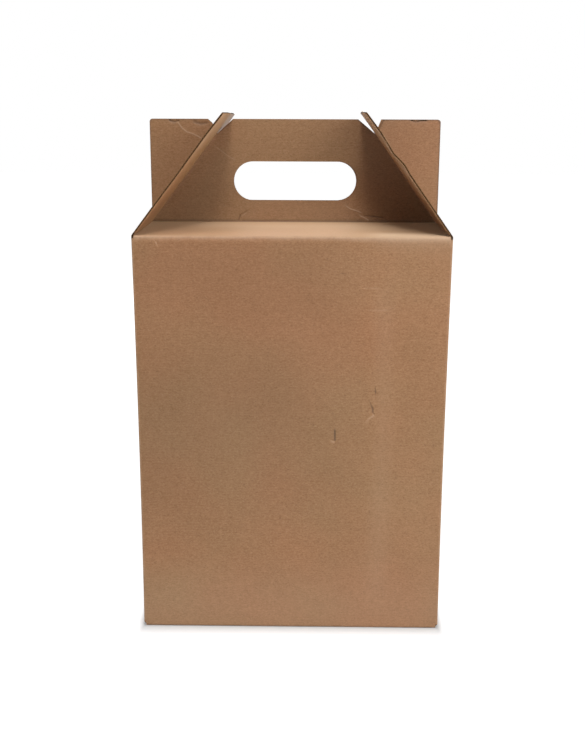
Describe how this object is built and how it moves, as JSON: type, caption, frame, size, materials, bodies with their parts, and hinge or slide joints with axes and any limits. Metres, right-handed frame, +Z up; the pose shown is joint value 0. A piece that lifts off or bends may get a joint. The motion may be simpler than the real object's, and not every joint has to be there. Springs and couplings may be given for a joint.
{
  "type": "cardboard lunch box",
  "caption": "Closed upright carry box folded from thin corrugated card, with a hand hole in its folded handle and side flaps that hook over the handle's wings.",
  "frame": {"origin": "on the floor, under the middle of the box", "axes": "+X to the right seen from the front, +Y to the rear, +Z up; the handle lies in the XZ plane"},
  "size_m": [0.25, 0.219, 0.426],
  "materials": {
    "kraft_board": "matt brown kraft liner"
  },
  "bodies": {
    "carton": {"carton": "kraft_board"},
    "left_flap": {"left_side_flap": "kraft_board"},
    "right_flap": {"right_side_flap": "kraft_board"}
  },
  "joints": [
    {"name": "left_flap_fold", "type": "hinge", "parent": "carton", "child": "left_flap", "pos_m": [-0.125, 0, 0.33215], "axis": [0, -1, 0], "range_deg": [0, 200]},
    {"name": "right_flap_fold", "type": "hinge", "parent": "carton", "child": "right_flap", "pos_m": [0.125, 0, 0.33215], "axis": [0, 1, 0], "range_deg": [0, 200]}
  ]
}
